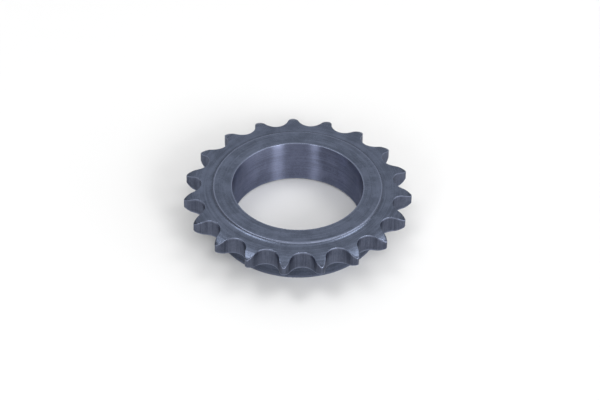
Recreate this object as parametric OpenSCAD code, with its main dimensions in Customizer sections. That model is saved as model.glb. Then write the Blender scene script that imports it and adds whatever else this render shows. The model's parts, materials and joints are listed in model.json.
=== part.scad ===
// Crankshaft gear: a one-piece steel sprocket ring for a single-row roller chain.
// Origin on the bore axis, in the mid-plane of the teeth. +Z points out of the raised face.

/* [Chain and teeth] */
// Number of teeth
teeth = 19; // [18:1:30]
// Distance between two pins of the chain
chain_pitch = 9.525; // [9.3:0.025:12.7]
// Diameter of the chain's rollers
roller_dia = 6.35; // [5:0.05:6.6]
// How much larger the radius of a seat is than that of its roller
seat_clearance = 0.28; // [0.1:0.01:0.5]
// Angle over which a seat wraps round its roller
seat_angle = 140.2; // [130:0.2:146]
// Radius of the rounded flank between a seat and a tip
flank_r = 4.4; // [3.4:0.1:5]
// How far the tips stand out past the pitch circle
tip_rise = 1.55; // [1:0.05:1.6]
// Radius of the corners of each tip
tip_corner_r = 0.35; // [0.2:0.05:0.8]

/* [Toothed disc] */
// Thickness of the disc that carries the teeth
tooth_width = 5.4; // [4.2:0.1:8]
// Radius of the bevel on both sides of the teeth
bevel_r = 8.9; // [7:0.1:12]
// How far the bevel has run into each side at a tip
bevel_depth = 1.5; // [0.5:0.05:1.9]

/* [Raised hub on top] */
// Diameter of the raised hub, below its broken edge
hub_dia = 45.4; // [42:0.1:46]
// How far the hub stands above the disc
hub_rise = 0.52; // [0.4:0.02:6]
// Radius of the turning tool's nose, left as a fillet where the hub meets the disc
hub_fillet_r = 1.6; // [0.2:0.1:1.8]
// Width of the broken edge round the hub
hub_edge_break = 0.2; // [0.05:0.05:0.3]

/* [Long hub underneath] */
// Diameter of the long hub
boss_dia = 44.9; // [42:0.1:47]
// How far the long hub stands below the disc
boss_length = 6.8; // [2.6:0.1:12]
// Radius of the fillet between the long hub and the disc
boss_fillet_r = 0.8; // [0.2:0.05:1.2]
// Width of the chamfer round the foot of the long hub
boss_chamfer = 0.2; // [0.1:0.05:1]

/* [Bore] */
// Diameter of the bore that seats on the crankshaft
bore_dia = 34.4; // [28:0.1:36]
// How much the steep lead-in opens the bore's radius at the raised face
lead_in = 0.3; // [0.1:0.05:0.8]
// How deep the lead-in runs into the bore
lead_in_depth = 1.5; // [0.3:0.1:3]
// Width of the chamfer at the bore's far end
bore_far_chamfer = 0.5; // [0.1:0.05:2]

/* [Hidden] */
steel = "#575f71";

half_turn = 180 / teeth;
pitch_r = chain_pitch / 2 / sin(half_turn);
root_r = pitch_r - roller_dia / 2;
tip_r = pitch_r + tip_rise;
seat_r = roller_dia / 2 + seat_clearance;
hub_r = hub_dia / 2;
boss_r = boss_dia / 2;
bore_r = bore_dia / 2;
face_z = tooth_width / 2;
top_z = face_z + hub_rise;
foot_z = -face_z - boss_length;

// Straight steps that stand for each arc
seat_steps = 10;
flank_steps = 5;
corner_steps = 4;
bevel_steps = 6;
fillet_steps = 5;

function polar(r, angle) = [r * cos(angle), r * sin(angle)];
// An arc leaves out its own first point, which ends the line before it
function arc(centre, r, from, to, steps) =
    [for (i = [1 : steps]) centre + polar(r, from + (to - from) * i / steps)];
function reversed(points) = [for (i = [len(points) - 1 : -1 : 0]) points[i]];
function mirrored(points) = [for (p = points) [p.x, -p.y]];
function turned(points, angle) =
    [for (p = points) [p.x * cos(angle) - p.y * sin(angle), p.x * sin(angle) + p.y * cos(angle)]];

// One gap between two teeth, centred on +X. Going out from its floor, the seat, the flank
// and the tip corner are three arcs, each tangent to the next.
seat_end = 180 - seat_angle / 2;
seat_centre = [root_r + seat_r, 0];
flank_centre = seat_centre + polar(seat_r + flank_r, seat_end);
flank_place = norm(flank_centre);
flank_aim = atan2(flank_centre.y, flank_centre.x);

// The corner touches both the flank and the tip circle from inside. Where the two flanks
// of a tooth would meet below the tip circle, the tooth is lower and keeps the least land.
least_land = 0.1;
corner_reach = flank_r - tip_corner_r;
corner_place = tip_r - tip_corner_r;
corner_lean = acos((flank_place ^ 2 + corner_place ^ 2 - corner_reach ^ 2)
    / (2 * flank_place * corner_place));
corner_aim = min(flank_aim - corner_lean, half_turn - asin(least_land / 2 / tip_r));
aim_between = flank_aim - corner_aim;
corner_centre = polar(flank_place * cos(aim_between)
    + sqrt(corner_reach ^ 2 - (flank_place * sin(aim_between)) ^ 2), corner_aim);
flank_end = atan2(corner_centre.y - flank_centre.y, corner_centre.x - flank_centre.x);

half_gap = concat(
    arc(seat_centre, seat_r, 180, seat_end, seat_steps),
    arc(flank_centre, flank_r, seat_end - 180, flank_end, flank_steps),
    arc(corner_centre, tip_corner_r, flank_end, corner_aim, corner_steps));
gap = concat(reversed(mirrored(half_gap)), [[root_r, 0]], half_gap);

// A gap faces -Y, so a tooth faces +Y on an odd count
front = -90;
tooth_outline = [for (i = [0 : teeth - 1]) each turned(gap, front + 2 * half_turn * i)];

// Half section of the turned blank. Its bevels run on past the tips, which the teeth cut off.
past_tip = 0.4;
bevel_start = tip_r - sqrt(bevel_r ^ 2 - (bevel_r - bevel_depth) ^ 2);
bevel_angle = asin((tip_r + past_tip - bevel_start) / bevel_r);
upper_bevel = [bevel_start, face_z - bevel_r];
lower_bevel = [bevel_start, bevel_r - face_z];

// The hub is too low for a full quarter of its fillet, so the arc stops at its broken edge
hub_wall_top = top_z - hub_edge_break;
hub_fillet_turn = acos(1 - min(hub_wall_top - face_z, hub_fillet_r) / hub_fillet_r);
hub_fillet = [hub_r + hub_fillet_r * sin(hub_fillet_turn), face_z + hub_fillet_r];
boss_fillet = [boss_r + boss_fillet_r, -face_z - boss_fillet_r];
blank_section = concat(
    [[bore_r, foot_z + bore_far_chamfer],
     [bore_r + bore_far_chamfer, foot_z],
     [boss_r - boss_chamfer, foot_z],
     [boss_r, foot_z + boss_chamfer],
     [boss_r, boss_fillet.y]],
    arc(boss_fillet, boss_fillet_r, 180, 90, fillet_steps),
    [[bevel_start, -face_z]],
    arc(lower_bevel, bevel_r, -90, bevel_angle - 90, bevel_steps),
    reversed(arc(upper_bevel, bevel_r, 90, 90 - bevel_angle, bevel_steps)),
    [[bevel_start, face_z], [hub_fillet.x, face_z]],
    arc(hub_fillet, hub_fillet_r, 270, 270 - hub_fillet_turn, fillet_steps),
    [[hub_r, hub_wall_top],
     [hub_r - hub_edge_break, top_z],
     [bore_r + lead_in, top_z],
     [bore_r, top_z - lead_in_depth]]);

// The ring as it leaves the lathe, bored, faced and bevelled
module turned_blank() {
    rotate_extrude($fn = 96) polygon(blank_section);
}

// Everything that the hob leaves standing, taller than the ring at both ends
module tooth_form() {
    past_ends = 1;
    translate([0, 0, foot_z - past_ends])
        linear_extrude(top_z - foot_z + 2 * past_ends) polygon(tooth_outline);
}

module crankshaft_gear() {
    color(steel) intersection() {
        turned_blank();
        tooth_form();
    }
}

crankshaft_gear();
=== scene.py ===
import bmesh
import bpy
import json
import math
from mathutils import Matrix, Vector


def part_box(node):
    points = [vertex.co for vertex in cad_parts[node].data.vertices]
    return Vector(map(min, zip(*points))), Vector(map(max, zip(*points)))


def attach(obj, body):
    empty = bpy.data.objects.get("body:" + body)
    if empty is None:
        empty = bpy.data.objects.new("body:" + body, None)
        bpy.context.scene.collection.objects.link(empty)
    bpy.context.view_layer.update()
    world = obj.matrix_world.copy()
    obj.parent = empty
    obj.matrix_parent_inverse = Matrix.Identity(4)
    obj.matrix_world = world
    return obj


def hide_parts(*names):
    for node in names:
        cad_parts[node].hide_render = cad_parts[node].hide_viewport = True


# Crankshaft gear: one blackened steel sprocket ring. Lengths in the dictionaries are in millimetres,
# apart from those of the studio at the end, which are in metres.
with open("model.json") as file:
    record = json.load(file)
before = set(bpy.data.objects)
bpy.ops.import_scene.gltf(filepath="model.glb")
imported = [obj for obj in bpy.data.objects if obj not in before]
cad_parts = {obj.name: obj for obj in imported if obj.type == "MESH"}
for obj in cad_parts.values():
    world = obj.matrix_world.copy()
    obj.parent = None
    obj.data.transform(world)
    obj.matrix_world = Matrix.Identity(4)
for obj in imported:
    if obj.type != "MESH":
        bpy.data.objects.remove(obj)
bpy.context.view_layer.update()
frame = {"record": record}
ringLow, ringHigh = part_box("crankshaft_gear")
mm = 0.001


def mountDims(name):
    return next(m["dims"] for m in frame["record"]["mounts"] if m["name"] == name)


def hexToLinear(hexText):
    channels = [int(hexText[i:i + 2], 16) / 255 for i in (1, 3, 5)]
    return [c / 12.92 if c <= 0.04045 else ((c + 0.055) / 1.055) ** 2.4 for c in channels] + [1]


def addNode(tree, kind, settings, sockets):
    # A socket is given a number or colour, or another node's output to link to
    node = tree.nodes.new(kind)
    for name, value in settings.items():
        setattr(node, name, value)
    for name, value in sockets.items():
        if isinstance(value, bpy.types.NodeSocket):
            tree.links.new(value, node.inputs[name])
        else:
            node.inputs[name].default_value = value
    return node


# The camera stands where the photograph was taken from
cameraPlace = dict(
    distance=693.6,
    azimuth=-3.34,  # degrees round the bore axis, from the front gap
    elevation=41.36,
    roll=1.16,
    aimRight=0.681,
    aimUp=-3.400,
    aimHeight=2.7,
    lens=156.07,
    sensor=36,
    nearest=50,  # the camera sees nothing closer than this or beyond the next
    farthest=50000,
)


def placeCamera():
    place = cameraPlace
    lift = math.radians(place["elevation"])
    back = Vector((0, -math.cos(lift), math.sin(lift)))
    right = Vector((1, 0, 0))
    up = back.cross(right)
    spot = back * place["distance"] + right * place["aimRight"] + up * place["aimUp"]
    tilt = math.radians(place["roll"])
    sideways = right * math.cos(tilt) + up * math.sin(tilt)
    upwards = up * math.cos(tilt) - right * math.sin(tilt)
    aim = Matrix((sideways, upwards, back)).transposed().to_4x4()
    aim.translation = (spot + Vector((0, 0, place["aimHeight"]))) * mm
    camera = bpy.data.objects.new("camera", bpy.data.cameras.new("camera"))
    camera.data.sensor_width = place["sensor"]
    camera.data.lens = place["lens"]
    camera.data.clip_start, camera.data.clip_end = place["nearest"] * mm, place["farthest"] * mm
    camera.matrix_world = Matrix.Rotation(math.radians(place["azimuth"]), 4, "Z") @ aim
    bpy.context.scene.collection.objects.link(camera)
    bpy.context.scene.camera = camera


placeCamera()
print("camera placed")

# The bore, the tooth count, the pitch circle and both ends come from the frame
ringSizes = dict(
    teeth=mountDims("chain_teeth")["count"],
    pitchRadius=mountDims("chain_teeth")["pcd_mm"] / 2,
    boreRadius=mountDims("bore")["r_mm"],
    topHeight=ringHigh[2] / mm,
    footHeight=ringLow[2] / mm,
    rollerDia=6.35,
    seatClearance=0.28,
    seatAngle=140.2,  # degrees that a seat wraps round its roller
    flankRadius=4.4,
    tipRise=1.55,
    tipCorner=0.35,
    toothWidth=5.4,
    bevelRadius=8.9,
    bevelDepth=1.5,
    hubRadius=22.7,
    hubFillet=1.6,
    hubEdgeBreak=0.2,
    bossRadius=22.45,
    bossFillet=0.8,
    bossChamfer=0.2,
    leadIn=0.3,  # the bore opens by this much at the raised face
    leadInDepth=1.5,
    farChamfer=0.5,
    seamRadius=24.1,  # the toothed rim and the turned hubs are joined here, on the flat of the disc
)
ringDetail = dict(
    seatSteps=12,
    flankSteps=8,
    cornerSteps=5,
    landSteps=2,
    rimRings=8,  # rings between the tooth outline and the seam
    filletSteps=6,
    gapEdge=0.13,  # rounding of the gap edges, as tumbling leaves them
    gapEdgeSteps=3,
    turnedEdge=0.1,  # rounding of the turned edges
    turnedEdgeSteps=3,
    longRun=1,  # a straight run above this length gets two points on its way
    mergeReach=0.0005,  # vertices closer than this become one
    uprightBelow=0.5,  # a face counts as upright where its normal rises by less than this
    largeFaceWeight=60,  # how far large faces rule the shading of the rounded edges beside them
)


def swing(bm, vert, centre, degrees, steps, axis):
    # Draws an arc from vert about centre and gives back the arc's last vertex
    made = bmesh.ops.spin(bm, geom=[vert], cent=centre, axis=axis, dvec=(0, 0, 0),
                          angle=math.radians(degrees), steps=steps, use_duplicate=False)
    return next(g for g in made["geom_last"] if isinstance(g, bmesh.types.BMVert))


def drawTo(bm, vert, place):
    made = bmesh.ops.extrude_vert_indiv(bm, verts=[vert])["verts"][0]
    made.co = place
    return made


def drawRun(bm, vert, place):
    # Two points on the way keep the wear of a long run's ends from meeting in its middle
    start, end = vert.co.copy(), Vector(place)
    if (end - start).length > ringDetail["longRun"]:
        for share in (1 / 3, 2 / 3):
            vert = drawTo(bm, vert, start.lerp(end, share))
    return drawTo(bm, vert, end)


def toothAngles():
    # Centres and sweeps of the three arcs between the floor of a gap, on +X, and a tooth tip
    s = ringSizes
    rootRadius = s["pitchRadius"] - s["rollerDia"] / 2
    seatRadius = s["rollerDia"] / 2 + s["seatClearance"]
    tipRadius = s["pitchRadius"] + s["tipRise"]
    seatEnd = 180 - s["seatAngle"] / 2
    seatCentre = Vector((rootRadius + seatRadius, 0, 0))
    aim = math.radians(seatEnd)
    flankCentre = seatCentre + (seatRadius + s["flankRadius"]) * Vector((math.cos(aim), math.sin(aim), 0))
    place = flankCentre.length
    reach = s["flankRadius"] - s["tipCorner"]
    cornerPlace = tipRadius - s["tipCorner"]
    lean = math.acos((place ** 2 + cornerPlace ** 2 - reach ** 2) / (2 * place * cornerPlace))
    cornerAim = math.atan2(flankCentre.y, flankCentre.x) - lean
    cornerCentre = cornerPlace * Vector((math.cos(cornerAim), math.sin(cornerAim), 0))
    gone = cornerCentre - flankCentre
    flankEnd = math.degrees(math.atan2(gone.y, gone.x))
    return dict(rootRadius=rootRadius, tipRadius=tipRadius, seatCentre=seatCentre, seatTurn=seatEnd - 180,
                flankCentre=flankCentre, flankTurn=flankEnd - (seatEnd - 180), cornerCentre=cornerCentre,
                cornerTurn=math.degrees(cornerAim) - flankEnd,
                landTurn=180 / s["teeth"] - math.degrees(cornerAim))


def angleOf(vert, ahead):
    # Counted from a little before +X, so that a vertex on +X comes first
    return (math.atan2(vert.co.y, vert.co.x) + ahead) % (2 * math.pi)


def faceHeight(radius, bevelStart):
    # Height of the disc's upper side, which the bevel lowers towards the tips
    s = ringSizes
    past = max(radius - bevelStart, 0)
    return s["toothWidth"] / 2 - s["bevelRadius"] + math.sqrt(s["bevelRadius"] ** 2 - past ** 2)


def makeRim(bm, rubbedSheenLayer):
    s, d, a = ringSizes, ringDetail, toothAngles()
    straightUp = (0, 0, 1)
    vert = bm.verts.new((a["rootRadius"], 0, 0))
    vert = swing(bm, vert, a["seatCentre"], a["seatTurn"], d["seatSteps"], straightUp)
    vert = swing(bm, vert, a["flankCentre"], a["flankTurn"], d["flankSteps"], straightUp)
    vert = swing(bm, vert, a["cornerCentre"], a["cornerTurn"], d["cornerSteps"], straightUp)
    swing(bm, vert, Vector(), a["landTurn"], d["landSteps"], straightUp)
    bmesh.ops.mirror(bm, geom=bm.verts[:] + bm.edges[:], matrix=Matrix(),
                     merge_dist=d["mergeReach"], axis="Y")
    bmesh.ops.spin(bm, geom=bm.verts[:] + bm.edges[:], cent=(0, 0, 0), axis=straightUp, dvec=(0, 0, 0),
                   angle=math.radians(360 - 360 / s["teeth"]), steps=s["teeth"] - 1, use_duplicate=True)
    bmesh.ops.remove_doubles(bm, verts=bm.verts[:], dist=d["mergeReach"])
    # Upper half of the gap walls, then the upper side ring by ring towards the hub
    bevelLeft = s["bevelRadius"] - s["bevelDepth"]
    bevelStart = a["tipRadius"] - math.sqrt(s["bevelRadius"] ** 2 - bevelLeft ** 2)
    lead = bm.edges[:]
    gapEdges = []
    for ring in range(d["rimRings"] + 1):
        made = bmesh.ops.extrude_edge_only(bm, edges=lead)["geom"]
        newVerts = {g for g in made if isinstance(g, bmesh.types.BMVert)}
        lead = [g for g in made if isinstance(g, bmesh.types.BMEdge) and newVerts.issuperset(g.verts)]
        # The rings pass step by step from the tooth outline to an even circle
        step = 2 * math.pi / len(newVerts)
        left = (d["rimRings"] - ring) / (d["rimRings"] - ring + 1) if ring else 1
        for count, v in enumerate(sorted(newVerts, key=lambda v: angleOf(v, step / 4))):
            angle = step * count + (angleOf(v, step / 4) - step / 4 - step * count) * left
            radius = s["seamRadius"] + (v.co.xy.length - s["seamRadius"]) * left
            v.co = radius * math.cos(angle), radius * math.sin(angle), faceHeight(radius, bevelStart)
        if not ring:
            gapEdges = lead[:]
    bmesh.ops.recalc_face_normals(bm, faces=bm.faces[:])
    rounded = bmesh.ops.bevel(bm, geom=gapEdges, offset=d["gapEdge"], offset_type="ABSOLUTE",
                              segments=d["gapEdgeSteps"], profile=0.5, affect="EDGES",
                              clamp_overlap=False, material=-1)
    # The rounded gap edges are marked for the pale edge colour: worn skin and a painted highlight
    for v in {v for f in rounded["faces"] for v in f.verts}:
        v[rubbedSheenLayer] = 1
    bmesh.ops.mirror(bm, geom=bm.verts[:] + bm.edges[:] + bm.faces[:], matrix=Matrix(),
                     merge_dist=d["mergeReach"], axis="Z")


def makeHubs(bm, rubbedSheenLayer, stepsPerTooth):
    # Half section of the two hubs and the bore, from the disc's upper side round to its lower one
    s, d = ringSizes, ringDetail
    face, top, foot = s["toothWidth"] / 2, s["topHeight"], s["footHeight"]
    wallTop = top - s["hubEdgeBreak"]
    filletTurn = math.acos(1 - (wallTop - face) / s["hubFillet"])
    filletFoot = s["hubRadius"] + s["hubFillet"] * math.sin(filletTurn)
    sideways = (0, 1, 0)
    old = set(bm.verts)
    vert = bm.verts.new((s["seamRadius"], 0, face))
    vert = drawTo(bm, vert, (filletFoot, 0, face))
    vert = swing(bm, vert, Vector((filletFoot, 0, face + s["hubFillet"])), math.degrees(filletTurn),
                 d["filletSteps"], sideways)
    corners = [vert]
    for radius, height in ((s["hubRadius"] - s["hubEdgeBreak"], top),
                           (s["boreRadius"] + s["leadIn"], top),
                           (s["boreRadius"], top - s["leadInDepth"]),
                           (s["boreRadius"], foot + s["farChamfer"]),
                           (s["boreRadius"] + s["farChamfer"], foot),
                           (s["bossRadius"] - s["bossChamfer"], foot),
                           (s["bossRadius"], foot + s["bossChamfer"])):
        vert = drawRun(bm, vert, (radius, 0, height))
        if height != top - s["leadInDepth"]:  # the lead-in runs out too flat to have an edge there
            corners.append(vert)
    vert = drawTo(bm, vert, (s["bossRadius"], 0, -face - s["bossFillet"]))
    vert = swing(bm, vert, Vector((s["bossRadius"] + s["bossFillet"], 0, -face - s["bossFillet"])), 90,
                 d["filletSteps"], sideways)
    drawTo(bm, vert, (s["seamRadius"], 0, -face))
    rounded = bmesh.ops.bevel(bm, geom=corners, offset=d["turnedEdge"], offset_type="OFFSET",
                              segments=d["turnedEdgeSteps"], profile=0.5, affect="VERTICES",
                              clamp_overlap=True, material=-1)
    # The rounded turned edges are marked for the pale edge colour: worn skin and a painted highlight
    for v in rounded["verts"]:
        v[rubbedSheenLayer] = 1
    section = [v for v in bm.verts if v not in old]
    wire = list({e for v in section for e in v.link_edges})
    print("hub section:", len(section), "points")
    # One tooth's share is turned first and then repeated, which is far quicker than a full spin
    share = math.radians(360 / s["teeth"])
    bmesh.ops.spin(bm, geom=section + wire, cent=(0, 0, 0), axis=(0, 0, 1), dvec=(0, 0, 0),
                   angle=share, steps=stepsPerTooth, use_duplicate=False)
    turned = [v for v in bm.verts if v not in old]
    wedge = {g for v in turned for g in [v, *v.link_edges, *v.link_faces]}
    bmesh.ops.spin(bm, geom=list(wedge), cent=(0, 0, 0), axis=(0, 0, 1), dvec=(0, 0, 0),
                   angle=share * (s["teeth"] - 1), steps=s["teeth"] - 1, use_duplicate=True)
    bmesh.ops.remove_doubles(bm, verts=[v for v in bm.verts if v not in old], dist=d["mergeReach"])


def makeRing():
    s, d = ringSizes, ringDetail
    bm = bmesh.new()
    rubbedSheenLayer = bm.verts.layers.float.new("rubbedSheen")
    makeRim(bm, rubbedSheenLayer)
    rimLoops = [e for e in bm.edges if e.is_boundary]
    print("toothed rim:", len(bm.faces), "faces,", len(rimLoops), "edges to join")
    makeHubs(bm, rubbedSheenLayer, len(rimLoops) // 2 // s["teeth"])
    bmesh.ops.remove_doubles(bm, verts=[v for v in bm.verts if v.is_boundary], dist=d["mergeReach"])
    # The first gap was drawn on +X and belongs on -Y
    bmesh.ops.rotate(bm, verts=bm.verts[:], cent=(0, 0, 0),
                     matrix=Matrix.Rotation(math.radians(-90), 3, "Z"))
    bmesh.ops.scale(bm, verts=bm.verts[:], vec=(mm, mm, mm))
    bmesh.ops.recalc_face_normals(bm, faces=bm.faces[:])
    for face in bm.faces:
        face.smooth = True
        # Upright faces are cut by the hob outside the hubs and bored inside them
        reach = face.calc_center_median().xy.length / mm
        upright = abs(face.normal.z) < d["uprightBelow"]
        if upright and reach > s["seamRadius"]:
            face.material_index = 1
        elif upright and reach < s["boreRadius"] + s["farChamfer"]:
            face.material_index = 2
    openEdges = sum(not e.is_manifold for e in bm.edges)
    volume = round(bm.calc_volume() / mm ** 3)
    print("ring:", len(bm.faces), "faces,", openEdges, "open edges, volume mm3", volume)
    mesh = bpy.data.meshes.new("sprocketRing")
    bm.to_mesh(mesh)
    bm.free()
    ring = bpy.data.objects.new("sprocketRing", mesh)
    bpy.context.scene.collection.objects.link(ring)
    weights = ring.modifiers.new("evenShading", "WEIGHTED_NORMAL")
    weights.mode = "FACE_AREA"
    weights.weight = d["largeFaceWeight"]
    return ring


ring = makeRing()
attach(ring, "root")
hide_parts("crankshaft_gear")

# Carbon steel with a steam oxide skin. The lathe left fine rings on the faces, which blur reflections
# outwards from the bore. The bore is cut finer and keeps upright streaks of light; its skin is painted
# paler than the faces', painted light that brightens the bore and its streaks. The hob left the gaps
# duller, with marks across the teeth. The skin is worn thin along the edges and painted pale there,
# which is partly wear and partly a painted highlight.
turnedFinish = dict(
    name="turnedOxideSteel",
    skin="#666e81",
    skinDark="#4d5463",
    # pale edge colour: skin worn thin, and a painted highlight along the edges
    rubbedSheen="#8f97ae",
    glancing="#d4d7dd",  # oxide mirrors less than bare metal at a flat angle
    roughness=0.27,
    anisotropy=0.3,
    markSpacing=0.35,  # real feed marks stand 0.12 mm apart, too fine to show
    markDepth=0.003,
)
boredFinishPaintedBright = turnedFinish | dict(
    name="boredOxideSteelPaintedBright",
    # paler than the faces' skin: painted light that brightens the bore wall and its streaks
    skin="#797f97",
    skinDark="#61677c",
    roughness=0.36,
    anisotropy=1,
    markSpacing=0.3,
)
hobbedFinish = turnedFinish | dict(
    name="hobbedOxideSteel",
    skin="#606677",
    skinDark="#474c5b",
    roughness=0.36,
    anisotropy=0,
    markSpacing=0.4,
    markDepth=0.008,
)
skinDetail = dict(
    grain=0.3,  # mm across a grain of the skin, real ones are far finer
    grainDepth=0.0025,
    cloud=4,  # mm across a darker or lighter patch
    lightBelow=1.25,  # the three patterns added up: below this the skin is light, above the next dark
    darkAbove=1.75,
    glossyBelow=0.7,  # patches and grain added up, from the glossiest to the dullest skin
    dullAbove=1.3,
    roughnessSpread=0.08,
    hobStretch=20,  # how much longer than wide the hob's marks are
    rubbedSheenFrom=0.8,  # below this share the skin keeps its tone; above it the edge turns pale, worn skin and painted highlight
)


def turnedMarks(tree, inMm, spacing):
    # Rings round the bore axis: the pattern changes with radius and height and hardly round the ring
    flat = addNode(tree, "ShaderNodeVectorMath", {"operation": "MULTIPLY"}, {0: inMm, 1: (1, 1, 0)})
    reach = addNode(tree, "ShaderNodeVectorMath", {"operation": "LENGTH"}, {0: flat.outputs["Vector"]})
    outward = addNode(tree, "ShaderNodeVectorMath", {"operation": "NORMALIZE"}, {0: flat.outputs["Vector"]})
    parts = addNode(tree, "ShaderNodeSeparateXYZ", {}, {"Vector": inMm})
    across = addNode(tree, "ShaderNodeMath", {"operation": "ADD"},
                     {0: reach.outputs["Value"], 1: parts.outputs["Z"]})
    turns = addNode(tree, "ShaderNodeMath", {"operation": "DIVIDE"},
                    {0: across.outputs["Value"], 1: spacing})
    line = addNode(tree, "ShaderNodeCombineXYZ", {}, {"Z": turns.outputs["Value"]})
    return addNode(tree, "ShaderNodeVectorMath", {"operation": "ADD"},
                   {0: outward.outputs["Vector"], 1: line.outputs["Vector"]}).outputs["Vector"]


def hobbedMarks(tree, inMm, spacing):
    # Lines from face to face of the disc
    lines = (1 / spacing, 1 / spacing, 1 / spacing / skinDetail["hobStretch"])
    return addNode(tree, "ShaderNodeVectorMath", {"operation": "MULTIPLY"},
                   {0: inMm, 1: lines}).outputs["Vector"]


def mixColors(tree, share, first, second):
    # The node keeps its two colours on sockets 6 and 7 and gives the mixed one on output 2
    return addNode(tree, "ShaderNodeMix", {"data_type": "RGBA"},
                   {"Factor": share, 6: first, 7: second}).outputs[2]


def oxideSteel(look, marks):
    detail = skinDetail
    material = bpy.data.materials.new(look["name"])
    material.use_nodes = True
    tree = material.node_tree
    tree.nodes.clear()
    place = addNode(tree, "ShaderNodeTexCoord", {}, {}).outputs["Object"]
    inMm = addNode(tree, "ShaderNodeVectorMath", {"operation": "SCALE"},
                   {0: place, "Scale": 1 / mm}).outputs["Vector"]
    lines = addNode(tree, "ShaderNodeTexNoise", {},
                    {"Vector": marks(tree, inMm, look["markSpacing"]), "Scale": 1,
                     "Detail": 2, "Roughness": 0.6})
    grain = addNode(tree, "ShaderNodeTexNoise", {},
                    {"Vector": inMm, "Scale": 1 / detail["grain"], "Detail": 3, "Roughness": 0.65})
    cloud = addNode(tree, "ShaderNodeTexNoise", {},
                    {"Vector": inMm, "Scale": 1 / detail["cloud"], "Detail": 3, "Roughness": 0.6})
    # Tone: patches, then the grain and the marks on top
    mottle = addNode(tree, "ShaderNodeMath", {"operation": "ADD"},
                     {0: cloud.outputs["Fac"], 1: grain.outputs["Fac"]})
    mottleMarked = addNode(tree, "ShaderNodeMath", {"operation": "ADD"},
                           {0: mottle.outputs["Value"], 1: lines.outputs["Fac"]})
    shade = addNode(tree, "ShaderNodeMapRange", {},
                    {"Value": mottleMarked.outputs["Value"],
                     "From Min": detail["lightBelow"], "From Max": detail["darkAbove"]})
    tone = mixColors(tree, shade.outputs["Result"], hexToLinear(look["skin"]), hexToLinear(look["skinDark"]))
    # Patches of pale colour along the rounded edges: worn skin and a painted highlight
    edge = addNode(tree, "ShaderNodeAttribute", {"attribute_name": "rubbedSheen"}, {})
    rubbedSheenEdge = addNode(tree, "ShaderNodeMapRange", {"interpolation_type": "SMOOTHSTEP"},
                   {"Value": edge.outputs["Fac"], "From Min": detail["rubbedSheenFrom"], "From Max": 1})
    rubbedSheenPatchy = addNode(tree, "ShaderNodeMath", {"operation": "MULTIPLY"},
                         {0: rubbedSheenEdge.outputs["Result"], 1: cloud.outputs["Fac"]})
    color = mixColors(tree, rubbedSheenPatchy.outputs["Value"], tone, hexToLinear(look["rubbedSheen"]))
    gloss = addNode(tree, "ShaderNodeMapRange", {},
                    {"Value": mottle.outputs["Value"],
                     "From Min": detail["glossyBelow"], "From Max": detail["dullAbove"],
                     "To Min": look["roughness"] - detail["roughnessSpread"] / 2,
                     "To Max": look["roughness"] + detail["roughnessSpread"] / 2})
    ridges = addNode(tree, "ShaderNodeBump", {},
                     {"Height": lines.outputs["Fac"], "Distance": look["markDepth"] * mm, "Strength": 1})
    skin = addNode(tree, "ShaderNodeBump", {},
                   {"Height": grain.outputs["Fac"], "Distance": detail["grainDepth"] * mm, "Strength": 1,
                    "Normal": ridges.outputs["Normal"]})
    sockets = {"Base Color": color, "Metallic": 1, "Roughness": gloss.outputs["Result"],
               "Normal": skin.outputs["Normal"], "Specular Tint": hexToLinear(look["glancing"])}
    if look["anisotropy"]:
        # The tangent runs round the bore axis, and a quarter turn lays the blur across the marks
        around = addNode(tree, "ShaderNodeVectorMath", {"operation": "CROSS_PRODUCT"},
                         {0: (0, 0, 1), 1: place})
        sockets |= {"Anisotropic": look["anisotropy"], "Anisotropic Rotation": 0.25,
                    "Tangent": around.outputs["Vector"]}
    shader = addNode(tree, "ShaderNodeBsdfPrincipled", {}, sockets)
    addNode(tree, "ShaderNodeOutputMaterial", {}, {"Surface": shader.outputs["BSDF"]})
    return material


# In the order of the material numbers on the ring's faces
for material in (oxideSteel(turnedFinish, turnedMarks), oxideSteel(hobbedFinish, hobbedMarks),
                 oxideSteel(boredFinishPaintedBright, turnedMarks)):
    ring.data.materials.append(material)
print("ring finished")

# Lengths are in metres here
studio = dict(
    floorColor="#dedede",
    floorRoughness=0.9,
    floorReach=8,
    fill=0.27,
    # Soft fields of light in the room: azimuth, elevation, reach in degrees and strength
    fields=((0, 90, 40, 0.5), (175, 42, 60, 0.66), (65, 5, 50, 2.2), (0, 33, 40, 1.2)),
    lampDistance=1.5,
)


def makeFloor():
    bm = bmesh.new()
    bmesh.ops.create_grid(bm, x_segments=2, y_segments=2, size=studio["floorReach"])
    bmesh.ops.translate(bm, verts=bm.verts[:], vec=(0, 0, ringLow[2]))
    mesh = bpy.data.meshes.new("floor")
    bm.to_mesh(mesh)
    bm.free()
    floor = bpy.data.objects.new("floor", mesh)
    bpy.context.scene.collection.objects.link(floor)
    # Matt paper: no reflection of the ring, only its soft shadow
    material = bpy.data.materials.new("palePaper")
    material.use_nodes = True
    shader = material.node_tree.nodes["Principled BSDF"]
    shader.inputs["Base Color"].default_value = hexToLinear(studio["floorColor"])
    shader.inputs["Roughness"].default_value = studio["floorRoughness"]
    floor.data.materials.append(material)


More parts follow.
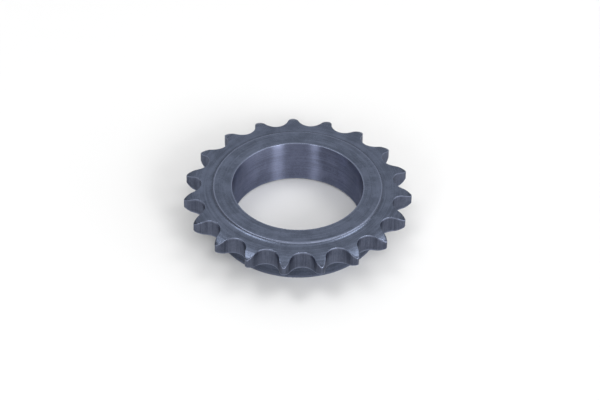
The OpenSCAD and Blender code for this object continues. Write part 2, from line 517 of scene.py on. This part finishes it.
def towards(azimuth, elevation):
    # Azimuth is counted as the camera's is: 0 is the camera's side, 90 the right
    turn, lift = math.radians(azimuth), math.radians(elevation)
    return Vector((math.sin(turn) * math.cos(lift), -math.cos(turn) * math.cos(lift), math.sin(lift)))


def lightRoom():
    world = bpy.data.worlds.new("room")
    bpy.context.scene.world = world
    world.use_nodes = True
    tree = world.node_tree
    tree.nodes.clear()
    sight = addNode(tree, "ShaderNodeTexCoord", {}, {}).outputs["Generated"]
    total = studio["fill"]
    for azimuth, elevation, reach, strength in studio["fields"]:
        near = addNode(tree, "ShaderNodeVectorMath", {"operation": "DOT_PRODUCT"},
                       {0: sight, 1: towards(azimuth, elevation)})
        field = addNode(tree, "ShaderNodeMapRange", {"interpolation_type": "SMOOTHSTEP"},
                        {"Value": near.outputs["Value"], "From Min": math.cos(math.radians(reach)),
                         "To Max": strength})
        total = addNode(tree, "ShaderNodeMath", {"operation": "ADD"},
                        {0: total, 1: field.outputs["Result"]}).outputs["Value"]
    back = addNode(tree, "ShaderNodeBackground", {}, {"Color": (1, 1, 1, 1), "Strength": total})
    addNode(tree, "ShaderNodeOutputWorld", {}, {"Surface": back.outputs["Background"]})


# Two low softboxes beside the camera and two above the sides: azimuth, elevation, width, height and watts
softboxes = dict(
    keySoftbox=(31, 27, 0.42, 0.45, 8.8),
    leftSoftbox=(-31, 27, 0.28, 0.45, 5),
    overheadRight=(104, 59, 0.5, 0.6, 3.7),
    overheadLeft=(-108, 66, 0.6, 0.55, 3.7),
)


def addSoftbox(name, azimuth, elevation, width, height, watts):
    light = bpy.data.lights.new(name, "AREA")
    light.shape = "RECTANGLE"
    light.size, light.size_y, light.energy = width, height, watts
    lamp = bpy.data.objects.new(name, light)
    back = towards(azimuth, elevation)
    lamp.location = back * studio["lampDistance"]
    lamp.rotation_mode = "QUATERNION"
    lamp.rotation_quaternion = back.to_track_quat("Z", "Y")
    bpy.context.scene.collection.objects.link(lamp)


makeFloor()
lightRoom()
for name, placing in softboxes.items():
    addSoftbox(name, *placing)
bpy.context.scene.view_settings.view_transform = "Standard"
